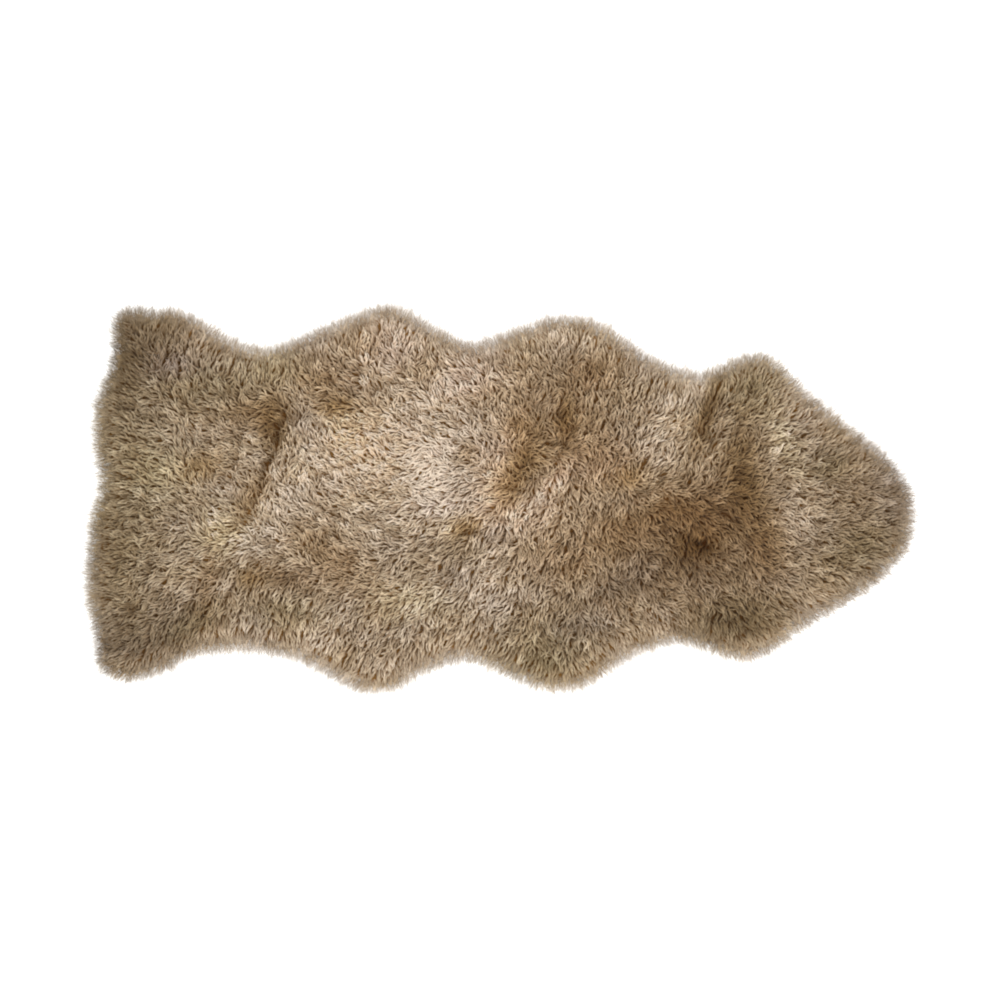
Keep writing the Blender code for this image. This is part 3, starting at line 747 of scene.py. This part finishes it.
def wool_piece(name, plan, height, half_width, tone, paleness, cover, material, random):
    """A piece of locks along lines of the floor plan at these heights, with their half widths at
    each point from root to tip, their brightness, how near their roots are to the tips' tone, and
    how far they cover what is behind them, at each point too."""
    line = np.concatenate([plan, height[..., None]], -1)
    count, steps = line.shape[0], line.shape[1] - 1
    along = np.gradient(line, axis=1)
    along /= np.linalg.norm(along, axis=2)[..., None] + 1e-12
    roll = random.normal(0, LOCK_ROLL, count)
    up = np.stack([np.sin(roll), 0 * roll, np.cos(roll)], -1)[:, None]
    side = np.cross(up, along)
    side /= np.linalg.norm(side, axis=2)[..., None] + 1e-12
    lift = np.cross(along, side)
    points, corners, sizes = locks_mesh(line, side, lift, half_width, half_width * LOCK_DEPTH)
    points[:, 2] = np.maximum(points[:, 2], FLOOR_CLEAR)
    piece = new_piece(name, points, corners, sizes, material)
    mesh = piece.data
    flat = mesh.uv_layers.new(name="OFBake")
    flat.data.foreach_set("uv", locks_map(count, steps).astype(np.float32).ravel())
    shift = random.uniform(0, FIBRES_APART, (count, 1, 2))
    strand = locks_map(1, steps) * FIBRES_PER_LOCK + shift
    fibres = mesh.uv_layers.new(name="fibres")
    fibres.data.foreach_set("uv", strand.astype(np.float32).ravel())
    # From root to tip colour: the tips' own paler colour, and painted shade towards the root, less
    # of it near the rim.
    share = np.clip(np.linspace(0, 1, steps + 1) / PALE_FROM, 0, 1)[None, :] ** PALE_CURVE
    share = (paleness[:, None] + (1 - paleness[:, None]) * share)[..., None]
    # The tone at each lock's middle, with its painted light and shade.
    tones_and_shade = np.repeat(tone_and_shade(plan[:, steps // 2])[:, None], steps + 1, axis=1)
    # Each lock's own tone, and painted shade that darkens it in the creases.
    tones_and_shade[..., 0] += tone[:, None] - furrowed(plan)
    colour = (WOOL_ROOT_AND_SHADE * (1 - share) + WOOL_TIP * share) * shade(tones_and_shade)
    colour = np.minimum(colour, PALEST)
    colour = np.concatenate([np.repeat(colour[:, :-1], 3, axis=1), colour[:, -1:]], 1)
    cover = np.r_[np.repeat(cover[:-1], 3), cover[-1:]]
    coloured(mesh, colour, cover)
    return piece


def coat(number):
    """One coat of locks. Each starts as a line along the combing; towards its tip it is drawn to
    its staple's middle, it sways in the crimp that neighbours share as a sine wave, and it rises
    from deep in the wool, with the square of its length, to lie on top in a shallow bow. It is
    widest before its middle and tapers to its tip."""
    random = np.random.default_rng(WOOL_SEED + number)
    all_places = evenly(COATS * COAT_LOCKS, np.random.default_rng(WOOL_SEED))
    places = all_places[number::COATS]
    places = places + random.normal(0, PLACE_JITTER, places.shape)
    places = places[read(inside, places) > -OUTERMOST]
    locks = len(places)
    stray = random.uniform(0, 1, locks) < STRAYS
    curl = waves(places, *CURL_WIDE) + waves(places, *CURL_NARROW)
    curl += random.normal(0, CURL_OWN, locks) + stray * random.normal(0, STRAY_CURL, locks)
    curl *= np.clip(read(inside, places) / CURL_RIM, CURL_LEAST, 1)
    length = random.uniform(*LOCK_LENGTH, locks)
    drift = random.normal(0, LOCK_DRIFT, places.shape)
    line = spines(places, drift, length, curl, RINGS, ROOTWARD)
    line = within(line, FRINGE * random.uniform(*LOCK_REACH, locks))
    side = sideways(line)

    staples = evenly(int(BOX_AREA / STAPLE_SPACING**2), np.random.default_rng(STAPLE_SEED))
    own = nearest_staple(places, staples)
    off = ((places - staples[own]) * side[:, RINGS // 2]).sum(1)[:, None]
    random_staples = np.random.default_rng(STAPLE_OWN_SEED)
    gather = random_staples.uniform(0, STAPLE_GATHER, len(staples))[own][:, None]
    raised = random_staples.normal(0, STAPLE_LIFT, len(staples))[own][:, None]
    staple_tone = random_staples.normal(0, STAPLE_TONE, len(staples))[own]
    t = np.linspace(0, 1, RINGS + 1)[None]
    run = np.linalg.norm(np.diff(line, axis=1), axis=2).sum(1)[:, None]
    varies = np.clip(waves(places, *CRIMP_WAVES), -CRIMP_LIMIT, CRIMP_LIMIT)
    crimp = (CRIMP + CRIMP_VARIES * varies)[:, None]
    phase = (waves(places, *PHASE_WAVES) + random.normal(0, PHASE_OWN, locks))[:, None]
    sway = random.uniform(*SWAY, locks)[:, None]
    angle = 2 * math.pi * t * run / crimp + phase
    plan = line + side * (sway * t**0.5 * np.sin(angle) - off * gather * t**1.5)[..., None]

    calm = np.clip(read(inside, plan) / CALM_WIDTH + CALM_WALL, CALM_LEAST, 1)
    depth = random.uniform(*ROOT_DEPTH, locks)[:, None]
    tip = (random.normal(0.0, TIP_LIFT, locks) + stray * STRAY_LIFT)[:, None]
    bow = random.uniform(0.0, BOW, locks)[:, None]
    rise = -depth * (1 - t) ** 2 + (tip + raised) * t**2 + bow * np.sin(math.pi * t)
    height = read(wool_height, plan) + calm * (rise + SWAY_RISE * sway * np.cos(angle))
    height -= FURROW_DROP * np.minimum(furrowed(plan), 1)
    height = np.clip(height, LEAST_HEIGHT, HIGHEST)
    width = (random.uniform(*LOCK_HALF_WIDTH, locks) * np.where(stray, STRAY_FINENESS, 1))[:, None]
    from_rim = read(inside, places) / FINE_WIDTH
    width = width * np.clip(RIM_FINENESS + from_rim, RIM_FINENESS, 1)[:, None]
    width = width * np.minimum(1, 0.6 + 1.3 * t) * (1 - t**4) ** 0.8
    tone = staple_tone + random.normal(0, LOCK_TONE, locks)
    # Painted light: the roots near the rim are painted paler.
    paleness, cover = COAT_RIM_PAINTED_LIGHT * near_rim(places), np.ones(RINGS + 1)
    name = f"wool_coat_{number + 1}"
    return wool_piece(name, plan, height, width, tone, paleness, cover, fibre, random)


fibre = wool_finish("wool", False)
wool = [coat(number) for number in range(COATS)]

# ---- Rim wool ------------------------------------------------------------------------------------
# The finest wool, all round the rim: thin fibres that fall past the hide's edge and lie on the
# floor, ever sparser outwards, so that the rug ends in a soft pale fringe and not in a line.

RIM_LOCKS = 17000
RIM_SEED = 73
RIM_SPREAD = 12  # so many places over the rug's box for each that is taken at the rim
RIM_RINGS = 2
RIM_REACH = (0.002, 0.027, 0.076)  # how far past the slab's wall: least, mostly and at most
RIM_LENGTH = (0.010, 0.076)
RIM_HALF_WIDTH = (0.0003, 0.0006)
RIM_BAND = (-0.018, 0.004)  # where they are placed, from the slab's wall inwards
RIM_ROOTWARD = 0.5
RIM_CURL, RIM_CURL_OWN = (0.2, 33, 0.02, 0.05), 0.22
RIM_SWAY = 0.0025
RIM_UNDER, RIM_LIFT = 0.013, (-0.002, 0.006)  # below the coats' tops at the root, above at the tip
RIM_LEAST = 0.0012  # the least height of a fibre's middle line
RIM_COVER = (1, 0.62, 0.2)  # at the root, the middle and the tip
RIM_LIGHT, RIM_TONE = 0.4, 0.14  # how much lighter than the coats, and how much they differ
RIM_ROOT_PALENESS = 0.7  # how near their roots are to the tips' tone


def rim_wool():
    """Thin fibres over the rim, each straight outwards but for a small lean and sway, and as long
    as it takes to end at its reach."""
    random = np.random.default_rng(RIM_SEED)
    places = evenly(RIM_LOCKS * RIM_SPREAD, random)
    from_wall = read(inside, places)
    chosen = np.flatnonzero((from_wall > RIM_BAND[0]) & (from_wall < RIM_BAND[1]))[:RIM_LOCKS]
    places, from_wall = places[chosen], from_wall[chosen]
    locks = len(places)
    curl = waves(places, *RIM_CURL) + random.normal(0, RIM_CURL_OWN, locks)
    length = (random.triangular(*RIM_REACH, locks) + from_wall) / (1 - RIM_ROOTWARD)
    length = np.clip(length, *RIM_LENGTH)
    line = spines(places, np.zeros_like(places), length, curl, RIM_RINGS, RIM_ROOTWARD)
    root, tip = np.abs(line[:, 0]), np.abs(line[:, -1])
    room = np.where(tip > WIDEST, (WIDEST - root) / np.maximum(tip - root, 1e-6), 1).min(1)
    line = line[:, :1] + (line - line[:, :1]) * room[:, None, None]
    side = sideways(line)
    t = np.linspace(0, 1, RIM_RINGS + 1)[None]
    sway = random.uniform(-RIM_SWAY, RIM_SWAY, locks)[:, None]
    plan = line + side * (sway * np.sin(math.pi * t))[..., None]
    lift = random.uniform(*RIM_LIFT, locks)[:, None] * t - RIM_UNDER * (1 - t) ** 2
    height = np.maximum(read(wool_height, plan) + lift, RIM_LEAST)
    width = random.uniform(*RIM_HALF_WIDTH, locks)[:, None] * (1 - t**2) ** 0.7
    tone = random.normal(RIM_LIGHT, RIM_TONE, locks)
    paleness, cover = np.full(locks, RIM_ROOT_PALENESS), np.array(RIM_COVER)
    return wool_piece("rim_wool", plan, height, width, tone, paleness, cover, rim_fibre, random)


rim_fibre = wool_finish("rim_wool", True)
wool.append(rim_wool())

# ---- Stage ---------------------------------------------------------------------------------------
# A plain pale floor, soft light from a wide lamp and from all round, and a camera straight above,
# as in the photo. None of it is part of the rug.

FRAME_WIDTH = 2.166  # metres across the picture, at the height of the wool
WOOL_LEVEL = 0.03  # that height
LENS, FILM = 100, 36  # in millimetres
EYE_X, EYE_Y = -0.0003, -0.0015
FLOOR = 30  # its side
FLOOR_WHITE, FLOOR_GLOW = (0.93, 0.93, 0.93, 1), 0.25  # it glows a little, so as to be white
ROOM_LIGHT, LAMP_POWER, LAMP_SIZE = 1.25, 66, 2.6
LAMP_PLACE, LAMP_TILT = (0.4, -0.8, 2.7), (math.radians(16.5), math.radians(8.5), 0)
SOFTNESS = 2.15  # pixels that a point of the picture spreads over, as through the photo's lens


def floor_finish():
    """Plain matt white."""
    white = Finish("floor_white", {"Base Color": FLOOR_WHITE})
    place = white.node("TexCoord", {}, {}, "Object")
    grain = white.node("TexNoise", {}, {"Vector": place, "Scale": 3, "Detail": 2})
    white.put(white.surface, {"Roughness": 0.85 + grain * 0.1})
    white.put(white.surface, {"Emission Color": (1, 1, 1, 1), "Emission Strength": FLOOR_GLOW})
    return white.material


corner = FLOOR / 2
floor_mesh = bpy.data.meshes.new("floor")
floor_mesh.from_pydata(
    [(-corner, -corner, 0), (corner, -corner, 0), (corner, corner, 0), (-corner, corner, 0)],
    [],
    [(0, 1, 2, 3)],
)
floor_mesh.materials.append(floor_finish())
floor = bpy.data.objects.new("floor", floor_mesh)
bpy.context.scene.collection.objects.link(floor)

world = bpy.data.worlds.new("studio")
bpy.context.scene.world = world
world.use_nodes = True
world.node_tree.nodes["Background"].inputs["Color"].default_value = (1, 1, 1, 1)
world.node_tree.nodes["Background"].inputs["Strength"].default_value = ROOM_LIGHT

lamp_data = bpy.data.lights.new("wide_lamp", "AREA")
lamp_data.shape, lamp_data.size = "SQUARE", LAMP_SIZE
lamp_data.energy = LAMP_POWER
lamp = bpy.data.objects.new("wide_lamp", lamp_data)
bpy.context.scene.collection.objects.link(lamp)
lamp.location, lamp.rotation_euler = LAMP_PLACE, LAMP_TILT

eye_data = bpy.data.cameras.new("eye")
eye_data.lens, eye_data.sensor_width = LENS, FILM
eye = bpy.data.objects.new("eye", eye_data)
bpy.context.scene.collection.objects.link(eye)
eye.location = (EYE_X, EYE_Y, WOOL_LEVEL + FRAME_WIDTH * LENS / FILM)
bpy.context.scene.camera = eye
bpy.context.scene.view_settings.view_transform = "Standard"
bpy.context.scene.cycles.filter_width = SOFTNESS
